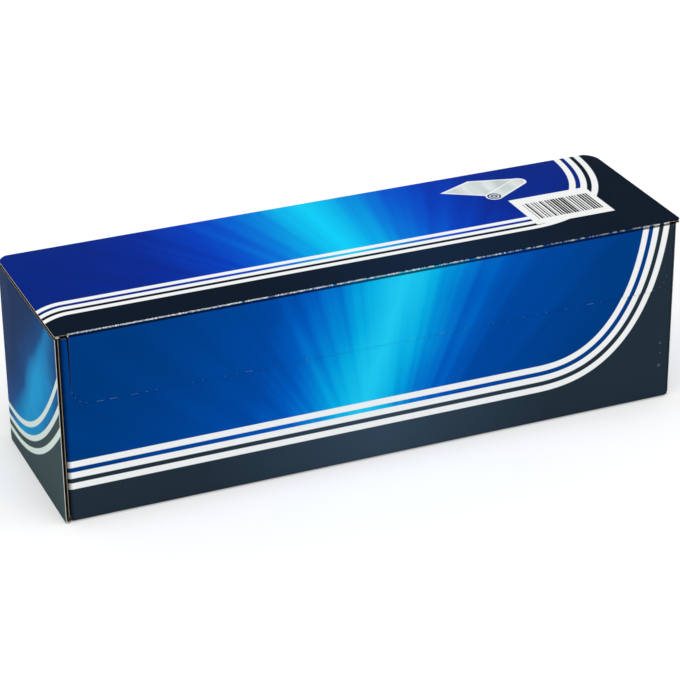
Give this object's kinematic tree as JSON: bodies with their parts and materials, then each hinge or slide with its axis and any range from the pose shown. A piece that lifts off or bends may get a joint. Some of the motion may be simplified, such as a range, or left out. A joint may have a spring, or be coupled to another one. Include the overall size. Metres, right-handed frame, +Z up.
{
  "type": "aluminium foil roll",
  "caption": "Roll of kitchen aluminium foil on a paperboard core, lying in its corrugated dispenser carton with a hinged lid, tear flap and serrated cutter strip.",
  "frame": {"origin": "middle of the carton's footprint, on the surface that it stands on", "axes": "+X along the carton, -Y out of its front with the tear flap, +Z up"},
  "size_m": [0.317, 0.096, 0.096],
  "materials": {
    "printed_board": "printed, varnished corrugated board",
    "cutter_steel": "bright rolled strip",
    "foil": "bright rolled foil",
    "core_board": "plain grey-brown paperboard"
  },
  "bodies": {
    "carton": {"carton_body": "printed_board", "cutter_strip": "cutter_steel", "foil_roll": "foil", "core_tube": "core_board"},
    "lid": {"carton_lid": "printed_board"}
  },
  "joints": [
    {"name": "lid_hinge", "type": "hinge", "parent": "carton", "child": "lid", "pos_m": [0, 0.04697, 0.09497], "axis": [-1, 0, 0], "range_deg": [0, 120]}
  ]
}
